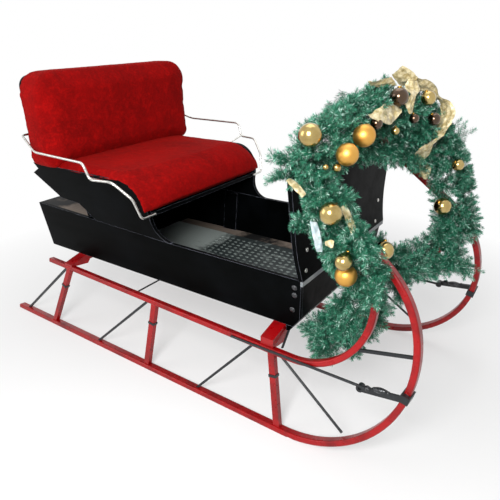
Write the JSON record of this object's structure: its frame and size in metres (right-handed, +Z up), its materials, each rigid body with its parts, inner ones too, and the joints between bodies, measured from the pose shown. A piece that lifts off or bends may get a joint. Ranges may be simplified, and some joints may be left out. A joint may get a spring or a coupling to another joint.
{
  "type": "horse drawn sleigh",
  "caption": "Open two-seat sleigh on bent steel runners, with a boarded body, high dash, cushioned seat with arm rails, and a ball-dressed garland hung round its front bars.",
  "frame": {"origin": "on the ground, below the middle of the sleigh's length and width", "axes": "+X forward, the way it is drawn; +Y to the left; +Z up"},
  "size_m": [2.4, 1.142, 1.385],
  "materials": {
    "red_enamel": "gloss red enamel on steel",
    "black_iron": "black painted iron",
    "black_lacquer": "gloss black coach lacquer on boards",
    "worn_boards": "black paint worn thin over boards",
    "grey_moulding": "grey painted batten",
    "ribbed_mat": "dark grey raised-oval rubber",
    "crimson_velvet": "crushed crimson velvet",
    "nickel_rod": "nickel plated rod",
    "needle_garland": "blue-green film needles",
    "tie_wire": "thin tie wire",
    "gold_bright": "mirror gold lacquer on blown plastic",
    "gold_satin": "satin gold lacquer on blown plastic",
    "bronze_bright": "mirror bronze lacquer on blown plastic"
  },
  "bodies": {
    "root": {"runner_left": "red_enamel", "runner_right": "red_enamel", "rail_left": "red_enamel", "rail_right": "red_enamel", "knee_rear_left": "red_enamel", "knee_rear_right": "red_enamel", "knee_middle_left": "red_enamel", "knee_middle_right": "red_enamel", "knee_front_left": "red_enamel", "knee_front_right": "red_enamel", "cross_beam_rear": "red_enamel", "cross_beam_front": "red_enamel", "knee_bands_left": "black_iron", "knee_bands_right": "black_iron", "side_irons_left": "black_iron", "side_irons_right": "black_iron", "front_brace_left": "black_iron", "front_brace_right": "black_iron", "draft_rod_left": "black_iron", "draft_rod_right": "black_iron", "shaft_coupling_left": "black_iron", "shaft_coupling_right": "black_iron", "bow_strut_left": "black_iron", "bow_strut_right": "black_iron", "tie_rod": "black_iron", "front_props": "black_iron", "body_side_left": "black_lacquer", "body_side_right": "black_lacquer", "seat_side_left": "black_lacquer", "seat_side_right": "black_lacquer", "front_sill": "black_lacquer", "front_panel": "black_lacquer", "rear_panel": "black_lacquer", "seat_riser": "black_lacquer", "side_cleats": "black_lacquer", "dash": "black_lacquer", "seat_rear_board": "black_lacquer", "seat_board": "black_lacquer", "back_board": "black_lacquer", "floor": "worn_boards", "rear_deck": "worn_boards", "dash_moulding": "grey_moulding", "floor_mat": "ribbed_mat", "seat_cushion": "crimson_velvet", "back_cushion": "crimson_velvet", "arm_rail_left": "nickel_rod", "arm_rail_right": "nickel_rod", "garland": "needle_garland", "garland_ties": "tie_wire", "balls_bright": "gold_bright", "ball_drop": "gold_bright", "balls_satin": "gold_satin", "balls_bronze": "bronze_bright"}
  },
  "joints": []
}
